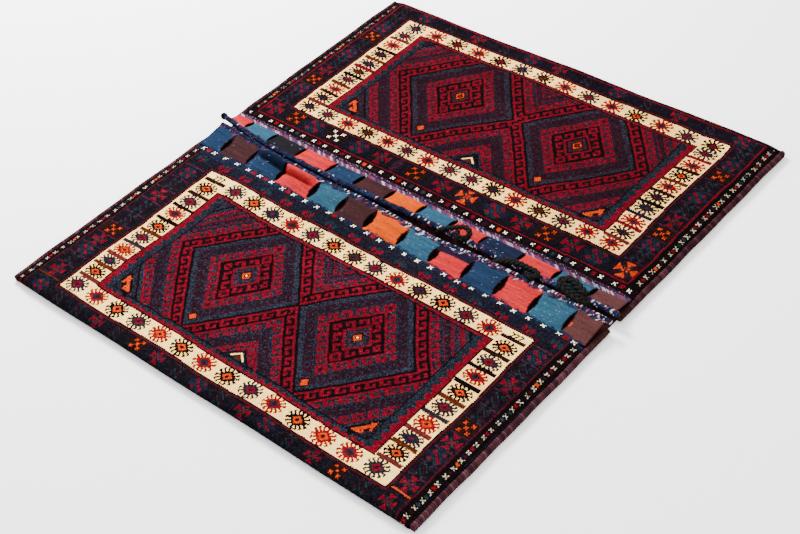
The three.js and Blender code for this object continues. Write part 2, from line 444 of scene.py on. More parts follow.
def tucked_route(pouch, x):
    side, start = pouch["side"], pouch["start"]
    end = start + LOOP_STEM
    route = [(x, side * (start + LOOP_STEM * t), LOOP_Z) for t in (0, 0.35, 0.7, 1)]
    for turned in range(30, 271, 30):
        a = math.radians(turned)
        route.append((x + EYE_R * (1 - math.cos(a)), side * (end + EYE_R * math.sin(a)), LOOP_Z))
    return route


for pouch in (NEAR, FAR):
    for number, slit_x in enumerate(pouch["slits"], 1):
        loop = f"{pouch['name']}_loop_{number:02d}"
        if loop in OUTER:
            d, flat, route = OUTER[loop]
            braid(loop, route, d, 0.9, 10, 5.0, flat)
        else:
            braid(loop, tucked_route(pouch, slit_x), LOOP_D, 1.8, 6, 0.4)


# ---------------------------------------------------------------- dyes
# Base colours, deep because the light is bright.
DYES = dict(
    ivory=(255, 201, 117), white=(255, 248, 214), black=(11, 5, 8), navy=(15, 15, 22), deep=(14, 10, 14),
    crimson=(84, 9, 21), red=(106, 5, 14), wine=(51, 12, 20), rose=(49, 17, 30),
    slate=(34, 36, 48), teal=(19, 31, 36), plum=(30, 11, 18), orange=(158, 44, 0), rust=(63, 26, 13),
    brown=(25, 12, 11), purple=(35, 19, 31), grey=(31, 25, 32), blue=(18, 32, 52), indigo=(17, 19, 31),
    steel=(22, 22, 30), bone=(158, 148, 122), stone=(112, 100, 82), lilac=(46, 32, 54),
    pink=(78, 34, 50), pale=(120, 108, 118), brick=(72, 24, 24),
)
NAMES = list(DYES)
RGB = np.array([linear(DYES[k]) for k in NAMES])


class Weave:
    """Knots at x, y in mm, each with one dye. Later paint covers earlier paint."""

    def __init__(self, x, y, dye="navy"):
        self.x, self.y = x, y
        self.c = np.full(x.shape, NAMES.index(dye))

    def paint(self, mask, dye):
        self.c[mask] = NAMES.index(dye)

    def box(self, x0, x1, y0, y1, dye):
        self.paint((self.x >= x0) & (self.x < x1) & (self.y >= y0) & (self.y < y1), dye)

    def at(self, cx, cy, hx, hy):
        return Spot(self, cx, cy, hx, hy)


class Spot:
    """The knots near one point, for drawing a motif."""

    def __init__(self, weave, cx, cy, hx, hy):
        self.weave = weave
        self.index = np.flatnonzero((abs(weave.x - cx) < hx) & (abs(weave.y - cy) < hy))
        self.x = weave.x[self.index] - cx
        self.y = weave.y[self.index] - cy

    def paint(self, mask, dye):
        self.weave.c[self.index[mask]] = NAMES.index(dye)

    def stroke(self, ax, ay, bx, by, width, dye):
        dx, dy = bx - ax, by - ay
        t = np.clip(((self.x - ax) * dx + (self.y - ay) * dy) / (dx * dx + dy * dy), 0, 1)
        self.paint(np.hypot(self.x - ax - t * dx, self.y - ay - t * dy) < width / 2, dye)

    def diamond(self, a, b, dye, cx=0.0, cy=0.0):
        self.paint(abs(self.x - cx) / a + abs(self.y - cy) / b < 1, dye)


STARS = dict(
    S=("steel", "crimson", "plum"), R=("red", "grey", "plum"), K=("black", "orange", "black"),
    C=("black", "crimson", "plum"), D=("brown", "purple", "plum"), O=("red", "orange", "brown"),
    B=("steel", "indigo", "crimson"), U=("brown", "rust", "black"),
)


def star(weave, cx, cy, kind, rx=24.0, ry=20.5, rays=14, thick=4.0, heart=1.0):
    """A many-legged star: bent rays round a stepped diamond.
    A heart under 1 leaves more of the rays in sight."""
    legs, body, core = STARS[kind]
    spot = weave.at(cx, cy, rx + 3, ry + 3)
    for k in range(rays):
        a = 2 * math.pi * (k + 0.5) / rays
        ca, sa = math.cos(a), math.sin(a)
        bend = 1 if ca * sa > 0 else -1
        tip = (0.92 * rx * ca, 0.92 * ry * sa)
        spot.stroke(0.4 * rx * ca, 0.4 * ry * sa, *tip, thick, legs)
        spot.stroke(*tip, tip[0] - bend * 3.2 * sa, tip[1] + bend * 3.2 * ca, thick - 0.6, legs)
    spot.diamond(0.76 * heart * rx, 0.74 * heart * ry, legs)
    spot.diamond(0.47 * heart * rx, 0.45 * heart * ry, body)
    spot.diamond(0.20 * heart * rx, 0.20 * heart * ry, core)


def small_x(spot, cx, cy, r, width, dye):
    for sx in (-1, 1):
        for sy in (-1, 1):
            spot.stroke(cx + 0.5 * r * sx, cy + 0.3 * r * sy, cx + r * sx, cy + r * sy, width, dye)
    spot.paint((abs(spot.x - cx) < 0.5 * r) & (abs(spot.y - cy) < 0.25 * r), dye)


def motif(weave, cx, cy, kind, s=1.0):
    """The motifs of the dark borders."""
    spot = weave.at(cx, cy, 32 * s, 30 * s)
    if kind in ("x_orange", "x_white"):
        dye = "orange" if kind == "x_orange" else "white"
        spot.diamond(34 * s, 32 * s, "brown")
        for px, py in ((0, 0), (-12, -12), (12, -12), (-12, 12), (12, 12)):
            small_x(spot, px * s, py * s, 3.5 * s, 2.0 if kind == "x_white" else 2.4, dye)
    elif kind in ("bow", "bow_orange"):
        dye = "orange" if kind == "bow_orange" else "crimson"
        if kind == "bow_orange":
            spot.diamond(36 * s, 33 * s, "plum")
        for ux, uy in ((1, 0), (-1, 0), (0, 1), (0, -1)):
            out = spot.x * ux + spot.y * uy
            across = abs(spot.x * uy + spot.y * ux)
            spot.paint((out > 8 * s) & (out < 23 * s) & (across < 1.5 * s + 0.72 * (out - 9 * s)), dye)
        for px, py in ((8, 8), (-8, -8), (8, -8), (-8, 8), (0, 0)):
            spot.diamond(4.5 * s, 4.5 * s, "teal", px * s, py * s)
        for px, py in ((4, 4), (-4, -4), (4, -4), (-4, 4)):
            spot.diamond(3.4 * s, 3.4 * s, dye, px * s, py * s)
    elif kind in ("mix", "dim"):
        first, second = ("crimson", "teal") if kind == "mix" else ("plum", "teal")
        spot.diamond(34 * s, 31 * s, "indigo" if kind == "mix" else "deep")
        for px, py in ((-14, 13), (14, -13), (14, 13), (-14, -13)):
            spot.diamond(7 * s, 6.5 * s, second, px * 0.7 * s, py * 1.25 * s)
            spot.diamond(6.5 * s, 6 * s, first, px * s, py * 0.85 * s)
        spot.stroke(-8 * s, 9 * s, 9 * s, -10 * s, 5 * s, first)
        spot.stroke(-12 * s, 2 * s, 2 * s, -13 * s, 2.6, second)
        spot.stroke(-2 * s, 13 * s, 12 * s, -1 * s, 2.6, second)
        spot.diamond(3 * s, 3 * s, "black")
    elif kind == "bar":
        for px in (-5, 0, 5):
            spot.paint((abs(spot.x - px) < 1.4) & (abs(spot.y) < 21), "rose")
        for py in (-19, -6, 6, 19):
            spot.paint((abs(spot.y - py) < 1.5) & (abs(spot.x) < 9), "purple")


BLOCKS = ["teal", "plum", "crimson", "brown", "red", "orange", "brown", "slate", "deep", "plum", "crimson"]


def chain(weave, start, end, fixed, along_x, pitch, phase=0, dye_x="white", r=3.5, width=1.9):
    """The outermost narrow border: white x's with coloured blocks between, along X or along Y."""
    count = max(2, int(round(abs(end - start) / pitch)))
    for k in range(count + 1):
        at = start + (end - start) * k / count
        cx, cy = (at, fixed) if along_x else (fixed, at)
        spot = weave.at(cx, cy, 9, 9)
        small_x(spot, 0, 0, r, width, dye_x)
        mid = at + (end - start) / count / 2
        cx, cy = (mid, fixed) if along_x else (fixed, mid)
        spot = weave.at(cx, cy, 12, 12)
        wide, high = (4.2, 4.6) if along_x else (3.6, 3.0)
        dye = BLOCKS[(k * 7 + phase) % len(BLOCKS)]
        if k < count:
            spot.paint((abs(spot.x) < wide) & (abs(spot.y) < high), dye)


# ---------------------------------------------------------------- the field of one face
SLOPE = 1.155  # a medallion is this much taller than wide
HOOK_PITCH = 16.5


def hooks(weave, mask, n, t, height, dye, mirrored):
    """Latch hooks that stand on a line: n is the distance from it and t runs along it."""
    u = np.mod(t, HOOK_PITCH)
    u = np.where(mirrored, HOOK_PITCH - u, u)
    stem = (u > 3.0) & (u < 7.6) & (n < height * 0.92)
    bar = (u > 3.0) & (u < 14.5) & (n > height * 0.66) & (n < height * 0.92)
    curl = (u > 11.2) & (u < 15.2) & (n > height * 0.34) & (n < height * 0.92)
    weave.paint(mask & (n > 0) & (stem | bar | curl), dye)


def medallions(weave, inner, centres, corner_y, mixes, heart):
    """Two large hooked diamonds side by side, and what fills the corners around them."""
    x0, x1, y0, y1 = inner
    field = (weave.x > x0) & (weave.x < x1) & (weave.y > y0) & (weave.y < y1)
    left, right = centres
    middle = (left[0] + right[0]) / 2
    cx = np.where(weave.x < middle, left[0], right[0])
    cy = left[1]
    dx, dy = weave.x - cx, weave.y - cy
    rho = abs(dx) + abs(dy) / SLOPE
    t = (abs(dx) - abs(dy) / SLOPE) / 2 + 400
    flip = (dx * dy) > 0
    speck = rng.random(weave.x.shape)

    def ground(low, high, mix):
        """A speckled ring; mix lists dyes with their shares."""
        mask, level = field & (rho >= low) & (rho < high), 0.0
        for dye, share in mix:
            weave.paint(mask & (speck >= level) & (speck < level + share), dye)
            level += share

    pale, deep, mauve = mixes
    for (start, dye), end in zip(heart, [*[at for at, _ in heart[1:]], 28]):
        ground(start, end, [(dye, 1.01)] if dye else mauve)
    ground(36, 65, [("black", 0.85), ("plum", 0.16)])
    ground(65, 92, mauve)
    ground(92, 120, deep)
    ground(120, 135, pale)
    ground(135, 171, [("black", 0.85), ("plum", 0.16)])
    ground(171, 197, mauve)
    ground(197, 230, deep)
    ground(230, 247, mauve)
    ground(253, 262, pale)
    ground(262, 400, deep)
    for start, end, dye in (
        (28, 34, "crimson"), (58, 65, "black"), (65, 70, "crimson"), (98.5, 101.5, "plum"), (117, 120,
                                                                                             "plum"),
        (134, 140.5, "black"), (140.5, 146.5, "crimson"), (166, 171, "black"), (171, 176, "crimson"),
        (205, 208, "plum"), (222, 226, "plum"), (247, 252.5, "crimson"), (262, 267, "black"), (281, 286,
                                                                                               "rose"),
        (300, 305, "black"),
    ):
        weave.paint(field & (rho >= start) & (rho < end), dye)
    hooks(weave, field & (rho < 118), rho - 101.5, t + 5, 15, "plum", ~flip)
    hooks(weave, field & (rho > 204) & (rho < 222), rho - 208, t + 9, 13, "plum", ~flip)
    for start, height in ((36, 21), (70, 23), (146.5, 19), (176, 20)):
        hooks(weave, field & (rho < start + height + 2), rho - start, t + start * 0.37, height, "crimson",
              flip)
    upper = field & (dy > 20) & (rho > 204) & (rho < 247)
    weave.paint(upper & (np.mod(rho, 22) < 9) & (speck < 0.55), "crimson")
    lower = field & (dy < -20) & (rho > 228) & (rho < 247)
    hooks(weave, lower, 247 - rho, t, 19, "crimson", flip)
    for cx, cy in centres:
        for py in (55, -55, 92, -92):
            spot = weave.at(cx, cy + py, 14, 16)
            spot.diamond(12, 14, "crimson")
            spot.diamond(5.5, 7, "plum")
        spot = weave.at(cx - 1, cy - 129, 14, 14)
        spot.diamond(12.5, 12.5, "black")
        spot.diamond(9.0, 9.0, "orange")
    # the triangle between the two diamonds, at the foot of the field
    spot = weave.at(middle - 2, corner_y, 52, 46)
    chevron = abs(spot.x) / 1.05 + spot.y
    low = spot.y > -10
    for start, end, dye in ((38, 43, "crimson"), (21, 24, "black"), (9, 12, "black"), (12, 21, "indigo")):
        spot.paint((chevron >= start) & (chevron < end) & low, dye)
    spot.paint((chevron > 10) & (chevron < 18) & (spot.y > -2) & (abs(spot.x) < 17), "black")
    spot.paint((chevron > 11.5) & (chevron < 16.5) & (spot.y > 0) & (abs(spot.x) < 15), "ivory")
    spot.paint((chevron < 7) & (spot.y > -1), "rust")
    # hooked figures in the two lower corners
    for cx, hand in ((x0 + 18, 1), (x1 - 19, -1)):
        spot = weave.at(cx, corner_y + 14, 26, 26)
        arm = spot.x * hand
        lean = arm + spot.y * 0.9
        spot.paint((abs(lean - 1) < 12) & (arm > -17) & (arm < 19), "black")
        spot.paint((arm > -13) & (arm < 13) & (abs(lean - 2) < 4.6) & (spot.y > -13), "orange")
        spot.paint((arm > -14) & (arm < -9) & (spot.y > 0) & (spot.y < 15), "orange")
        spot.paint((arm > -14) & (arm < -3) & (spot.y > 11) & (spot.y < 16), "orange")
        spot.paint((arm > -2) & (arm < 16) & (spot.y > -14) & (spot.y < -9), "orange")
        spot.paint((arm > -3) & (arm < 2) & (spot.y > -13) & (spot.y < -4), "orange")


SIDE_BASE, SIDE_TOOTH = 7.5, 10.0  # red behind the teeth at the sides, and the teeth
END_BASE, END_TOOTH = 2.5, 7.5  # the same along the two ends


def sawtooth(weave, outer, insets=(30, 8, 16)):
    """The red teeth along the inside of the ivory border, and the teal strip beyond them.
    Returns the inner field."""
    x0, x1, y0, y1 = outer
    inside = (weave.x > x0) & (weave.x < x1) & (weave.y > y0) & (weave.y < y1)
    weave.paint(inside, "teal")
    speck = rng.random(weave.x.shape)
    weave.paint(inside & (speck < 0.25), "slate")
    weave.paint(inside & (speck > 0.55), "navy")
    saw_y = abs(np.mod(weave.y, 21) / 21 - 0.5) * 2
    saw_x = abs(np.mod(weave.x, 18) / 18 - 0.5) * 2
    d_left, d_right = weave.x - x0, x1 - weave.x
    d_low, d_high = weave.y - y0, y1 - weave.y
    for d in (d_left, d_right):
        weave.paint(inside & (d < SIDE_BASE + SIDE_TOOTH * saw_y), "crimson")
    for d, base in ((d_low, END_BASE), (d_high, END_BASE - 1)):
        teeth = inside & (d < base + END_TOOTH * saw_x) & (d_left > 9) & (d_right > 9)
        weave.paint(teeth, "crimson")
    line_side, line_high, line_low = insets
    inner = (x0 + line_side, x1 - line_side, y0 + line_low, y1 - line_high)
    weave.box(inner[0] - 2.4, inner[1] + 2.4, inner[2] - 2.4, inner[3] + 2.4, "black")
    return inner


def framed(weave, outer, line="wine"):
    """A filled rectangle with a black line and a red line round it."""
    x0, x1, y0, y1 = outer
    weave.box(x0 - 8.2, x1 + 8.2, y0 - 8.2, y1 + 8.2, "black")
    weave.box(x0 - 7.0, x1 + 7.0, y0 - 7.0, y1 + 7.0, line)
    weave.box(x0 - 2.9, x1 + 2.9, y0 - 2.9, y1 + 2.9, "black")


def spread(first, last, count):
    return [first + (last - first) * k / (count - 1) for k in range(count)]


def side_boxes(weave, xa, xb, bars, kinds, s=0.82):
    """Boxes of small motifs up a side border, kept apart by thin bars."""
    for y in bars:
        weave.box(xa + 2, xb - 2, y - 1.5, y + 1.5, "rose")
    edges = list(bars)
    for k, kind in enumerate(kinds):
        mid = (edges[k] + edges[k + 1]) / 2
        if kind == "x_orange":
            weave.box(xa + 2, xb - 2, min(edges[k], edges[k + 1]) + 2, max(edges[k], edges[k + 1]) - 2,
                      "brown")
        motif(weave, (xa + xb) / 2, mid, kind, s)


NEAR_MIXES = (
    [("slate", 0.42), ("navy", 0.28), ("teal", 0.15), ("plum", 0.16)],
    [("navy", 0.40), ("slate", 0.26), ("plum", 0.20), ("indigo", 0.15)],
    [("slate", 0.26), ("navy", 0.30), ("plum", 0.26), ("teal", 0.10), ("crimson", 0.09)],
)
FAR_MIXES = (
    [("grey", 0.36), ("slate", 0.24), ("plum", 0.26), ("navy", 0.15)],
    [("plum", 0.40), ("grey", 0.28), ("navy", 0.22), ("purple", 0.11)],
    [("plum", 0.36), ("grey", 0.30), ("purple", 0.20), ("crimson", 0.15)],
)


NEAR_HEART = [(0, "ivory"), (2.5, "brown"), (5, "orange"), (9.5, "black"), (12.5, None)]
FAR_HEART = [(0, "orange"), (1.5, "brown"), (7, "orange"), (11, "brown"), (15, None), (23, "black")]


def draw_near(weave):
    ivory = (-396.0, 414.0, -523.7, -127.3)
    field = (-336.0, 354.0, -481.0, -170.2)
    speck = rng.random(weave.x.shape)
    weave.paint(speck < 0.55, "deep")
    weave.paint(speck > 0.95, "teal")
    weave.paint((speck > 0.92) & (speck < 0.95), "plum")
    # side borders
    bars = [-137, -178.7, -218, -258, -299.4, -336.5, -372.2, -410, -445.8, -477.6, -517]
    kinds = ["mix", "dim", "bow", "dim", "dim", "x_orange", "bow", "mix", "dim", "bow"]
    for xa, xb in ((-463, -405), (423, 463)):
        side_boxes(weave, min(xa, xb), max(xa, xb), bars, kinds, 0.72)
    weave.box(-460, -407, -519, -515.5, "rust")
    weave.box(423, 462, -519, -515.5, "orange")
    # strip under the slit band
    weave.paint((weave.y > -118) & (speck < 0.36), "indigo")
    weave.paint((weave.y > ramp(weave.x, [(-400, -100), (0, -88), (500, -92)])) & (speck > 0.44)
                & (speck < 0.70), "blue")
    weave.paint((weave.y > -104) & (speck > 0.72) & (speck < 0.80), "plum")
    for k, x in enumerate(spread(-468, 470, 30)):
        if k in (4, 5, 11, 20) or k % 7 == 0:
            spot = weave.at(x + 16, -86.5, 9, 7)
            spot.paint((abs(spot.x) < 5) & (abs(spot.y) < 4), "red")
        small_x(weave.at(x, -86, 9, 9), 0, 0, 3.5, 1.9, "white")
    for k, x in enumerate(spread(-440, 450, 16)):
        spot = weave.at(x, -110, 24, 13)
        for px in (-9, 9):
            spot.diamond(6, 8, "crimson" if k % 3 else "teal", px, 0)
        spot.diamond(5, 6, "teal", 0, 5)
        spot.diamond(5, 6, "crimson", 0, -5)
        spot.diamond(4, 5, "plum", -4, -5)
    # bottom border, which rolls round the fold
    bottom = "mix dim dim bow dim x_orange bow dim mix dim bow mix dim bow x_orange dim bow".split()
    for k, kind in enumerate(bottom):
        motif(weave, -427 + 54 * k, -544, kind, 0.66)
    weave.box(-500, 500, -571.5, -569.2, "wine")
    weave.box(-500, 500, -640, -572.5, "black")
    # outer chain up both sides
    for x, line in ((-478.5, -465), (476.5, 464)):
        weave.box(x - 12, x + 12, -572, -93, "black")
        weave.box(line - 1.6, line + 1.6, -572, -93, "wine")
        chain(weave, -100, -565, x + (1.5 if x > 0 else 0), False, 19.5, 3, "bone", 3.4, 1.7)
    framed(weave, ivory)
    weave.box(*ivory, "ivory")
    for x, kind in zip(spread(-308, 332, 13), "SKBRSKDSRDKSR"):
        star(weave, x, -148.5, kind)
    for x, kind in zip(spread(-371, 377, 14), "SRKSOKRKSRKORS"):
        star(weave, x, -502.5, kind)
    column = [(-172.5, "K"), (-216.5, "S"), (-257.5, "R"), (-302, "K"), (-341, "S"), (-385, "O"),
              (-423, "B"), (-460, "K")]
    bar_dyes = [(-148, "brown"), (-195, "brown"), (-236.5, "black"), (-280.5, "black"), (-322, "rust"),
                (-363, "grey"), (-405, "brick"), (-439, "rust"), (-478, "brick")]
    for cx in (-366, 384.5):
        for y, kind in column:
            star(weave, cx, y, kind, 24, 17.5)
        for y, dye in bar_dyes:
            weave.box(cx - 27, cx + 27, y - 4.4, y + 4.4, dye)
        spot = weave.at(cx, -138, 26, 9)
        for px in (-9, 0, 9):
            spot.stroke(px, -5, px + 4, 3, 3.8, "black")
            spot.stroke(px + 4, 3, px - 2, 6, 3.2, "black")
    weave.box(field[0] - 3, field[1] + 3, field[2] - 3, field[3] + 3, "black")
    inner = sawtooth(weave, field)
    medallions(weave, inner, ((-122.0, -304.0), (156.5, -305.0)), -462.0, NEAR_MIXES, NEAR_HEART)


FAR_STAR = dict(rays=12, thick=4.5, heart=0.80)


def draw_far(weave):
    ivory = (-408.0, 409.0, 126.3, 504.8)
    field = (-346.6, 351.0, 165.5, 469.0)
    speck = rng.random(weave.x.shape)
    weave.paint(speck < 0.45, "deep")
    weave.paint(speck > 0.93, "plum")
    bars = [547, 505, 471, 432, 394, 357, 315, 278, 239.5, 201, 165, 128]
    kinds = ["dim", "dim", "mix", "x_orange", "dim", "mix", "dim", "bow", "x_orange", "mix", "dim"]
    for xa, xb in ((-463, -417), (418, 463)):
        side_boxes(weave, xa, xb, bars, kinds, 0.72)
    for x, kind in zip(spread(-380, 420, 12), ["mix", "dim", "bow", "dim", "mix", "bow", "dim", "mix",
                                               "dim", "bow", "dim", "mix"]):
        motif(weave, x, 531, kind, 0.75)
    # navy border above the slit band
    placed = [(-438, "bow"), (-376, "x_orange"), (-323, "mix"), (-265.5, "x_white"), (-202, "mix"),
              (-139, "bow"), (-96.5, "bar"), (-49, "x_orange"), (18, "bow"), (78, "bow_orange"),
              (147, "mix"), (209, "bow"), (265, "x_orange"), (323, "bow"), (379, "mix"), (442, "bow_orange")]
    for x, kind in placed:
        motif(weave, x, 101.5, kind, 0.88)
    weave.box(-500, 500, 44, 78, "black")
    weave.paint((weave.y > 44) & (weave.y < 74) & (speck > 0.62) & (speck < 0.84), "plum")
    weave.box(-465, 466, 73.5, 76.5, "crimson")
    chain(weave, -478, 478, 64, True, 30.5, 1, "white", 3.0, 1.7)
    edge = weave.y < 53.0
    for low, high, dye in ((0, 0.32, "lilac"), (0.32, 0.56, "pink"), (0.56, 0.92, "indigo"),
                           (0.92, 1, "pale")):
        weave.paint(edge & (speck >= low) & (speck < high), dye)
    # outer chain up both sides and over the far fold
    for x, line in ((-478.5, -465), (478.5, 465.5)):
        weave.box(x - 13, x + 13, 78, 560, "black")
        weave.box(line - 1.6, line + 1.6, 76, 546, "crimson")
        chain(weave, 90, 548, x + 1.5, False, 19, 2, "stone" if x < 0 else "bone", 3.4, 1.7)
    weave.box(-465, 465, 542, 545, "crimson")
    weave.box(-500, 500, 545, 700, "black")
    chain(weave, -478, 478, 553, True, 20, 4, "stone", 3.2, 1.8)
    framed(weave, ivory)
    weave.box(*ivory, "ivory")
    for x, kind in zip(spread(-375, 379, 14), "BRCRCBURSRKRSC"):
        star(weave, x, 486.5, kind, **FAR_STAR)
    for x, kind in zip(spread(-381, 379, 15), "DSRURSRSSDRUSRR"):
        star(weave, x, 146, kind, 23.5, 19.5, **FAR_STAR)
    left = [(451, "S"), (410.6, "R"), (369, "D"), (329.8, "B"), (296, "U"), (262, "S"), (221, "R"),
            (183.5, "D")]
    left_bars = [(433.5, "brick"), (386, "black"), (349, "rust"), (312.5, "crimson"), (278.5, "black"),
                 (240.5, "rust"), (203.5, "brown"), (166, "brick")]
    right = [(458.5, "S"), (414, "R"), (376, "K"), (335.6, "R"), (297.7, "D"), (262, "B"), (219, "R"),
             (182, "D")]
    right_bars = [(437, "crimson"), (395.5, "brown"), (355, "rust"), (315.5, "brown"), (278, "black"),
                  (240.6, "indigo"), (203.5, "crimson"), (162, "brick")]
    for cx, stars, lines in ((-377, left, left_bars), (380, right, right_bars)):
        for y, kind in stars:
            star(weave, cx, y, kind, 25, 17.5, **FAR_STAR)
        for y, dye in lines:
            weave.box(cx - 27, cx + 27, y - 4.4, y + 4.4, dye)
    weave.box(field[0] - 3, field[1] + 3, field[2] - 3, field[3] + 3, "brown")
    inner = sawtooth(weave, field, insets=(28, 7, 15))
    medallions(weave, inner, ((-135.2, 346.6), (160.7, 346.6)), 184.0, FAR_MIXES, FAR_HEART)


# ---------------------------------------------------------------- the faces
def thinned(x):
    """Share of the full height that the bag keeps as it thins towards its two sides."""
    return ramp(abs(x), [(0, 1), (452, 1), (470, 0.95), (490, 0.68)])


def fold_line(pouch, run):
    """Distance from the middle, height and outward direction at a distance along the cloth from the joint."""
    joint = pouch["joint"]
    r = TOP / 2
    flat = FOLD - r - joint
    a = np.clip((run - flat) / r, 0, math.pi)
    beyond = np.maximum(run - flat - math.pi * r, 0)
    d = np.where(run < flat, joint + run, FOLD - r + r * np.sin(a) - beyond)
    z = r + r * np.cos(a)
    return d, z, a


KNOT = 2.34


def halves(quads, cols):
    """Each quad as two triangles, with the diagonals turned about like a chequerboard."""
    k = np.arange(len(quads))
    odd = ((k // cols + k % cols) % 2 == 1)[:, None]
    a, b, c, d = quads.T
    first = np.where(odd, np.stack([a, b, d], -1), np.stack([a, b, c], -1))
    second = np.where(odd, np.stack([b, c, d], -1), np.stack([a, c, d], -1))
    return np.stack([first, second], 1).reshape(-1, 3)


def make_pile(pouch, draw, dark):
    joint, side = pouch["joint"], pouch["side"]
    r = TOP / 2
    length = FOLD - r - joint + math.pi * r + LIP - r - 0.5
    half = HALF_WIDTH - WRAP - 0.3
    cols = int(2 * half / KNOT)
    on_top = np.arange(0, FOLD - joint + 6, KNOT)
    run = np.concatenate([on_top, np.linspace(on_top[-1] + 4, length, 9)])
    xs, rows = np.linspace(-half, half, cols + 1), len(run) - 1

    def shell(xs, run, depth):
        x, s = np.meshgrid(xs, run)
        d, z, a = fold_line(pouch, s)
        z = z * thinned(x) + ramp(d, [(joint, -3.0), (joint + 5, 0)]) * (s < FOLD - r - joint)
        flat_share = np.cos(np.clip(a, 0, math.pi / 2)) ** 2
        z = z + sag(x, side * d) * flat_share - depth * np.cos(a)
        d = d - depth * np.sin(a)
        y = slant(x, side * d, CLOTH_SHARE)
        y = y + side * 1.2 * waves(x, 0 * x, 300, 21 + side) * np.sin(a)
        return np.stack([x, y, np.maximum(z, 0.15)], -1).reshape(-1, 3)

    outer = shell(xs, run, 0.0)
    few_x, few_s = np.linspace(-half, half, 50), np.linspace(0, length, 34)
    inner = shell(few_x, few_s, PILE - 0.4)
    faces = halves(grid_faces(rows + 1, cols + 1), cols)
    back = grid_faces(34, 50, len(outer))
    if side > 0:
        back = back[:, ::-1]
    else:
        faces = faces[:, ::-1]
    faces = [*faces.tolist(), *back.tolist()]
    obj = mesh_object(f"{pouch['name']}_pile", np.vstack([outer, inner]), faces)
    # dye of each half knot, at its middle
    flat = np.stack(np.meshgrid(xs, run), -1).reshape(-1, 2)
    corners = np.array(faces[: 2 * rows * cols])
    kx, ks = flat[corners].mean(1).T
    ky = side * (joint + ks)
    wx = kx + 1.6 * waves(kx, ky, 210, 31 + side) + 0.5 * waves(kx, ky, 45, 33)
    wy = ky + 1.8 * waves(kx, ky, 240, 41 + side) + 0.5 * waves(kx, ky, 40, 43)
    weave = Weave(wx, wy)
    draw(weave)
    rgb = RGB[weave.c]
    row = np.repeat(rng.normal(1, 0.05, rows), 2 * cols)
    abrash = 1 + 0.10 * waves(kx * 0.15, ky, 60, 51 + side)
    spread_of = np.where(np.isin(weave.c, [NAMES.index("ivory"), NAMES.index("white")]), 0.05, 0.30)
    knot = np.exp(rng.normal(-0.02, 1, len(kx)) * spread_of + spread_of * 0.5
                  * waves(kx, ky, 9, 57 + side, 12))
    shift = rng.normal(0, 0.004, (len(kx), 3))
    rgb = np.clip(rgb * (row * abrash * knot * dark)[:, None] + shift * (rgb + 0.15), 0.002, 1)
    lining = np.tile(linear((38, 22, 22)), (len(back), 1))
    paint(obj, np.vstack([rgb, lining]), "FACE")
    uv_x, uv_s = np.meshgrid(np.arange(cols + 1), np.arange(rows + 1))
    uv_few = np.zeros((len(inner), 2))
    set_uv(obj, np.vstack([np.stack([uv_x, uv_s], -1).reshape(-1, 2), uv_few]))
    obj.data.materials.append(pile_mat)
    return obj


PATCHES = {
    "near": ["blue", "brownp", "blue", "coral", "teal", "brownp", "orange", "teal", "coral", "blue",
             "coral", "teal", "rosy"],
    "far": ["coral", "teal", "charcoal", "coral", "blue", "brownp", "orange", "teal", "coral", "navy",
            "coral", "teal", "rosy"],
}
PATCH_RGB = dict(
    blue=(22, 36, 56), brownp=(42, 24, 25), coral=(146, 31, 34), teal=(33, 60, 76), orange=(156, 56, 0),
    charcoal=(20, 19, 21), navy=(19, 24, 40), rosy=(62, 36, 35),
)


def band_height(pouch, d):
    """Middle height of the slit band at distance d from y = 0."""
    mouth = abs(pouch["binding"][0]) + 4.8
    return ramp(d, [(mouth, pouch["binding"][1]), (pouch["joint"], HOLLOW_TOP + 1.5)])


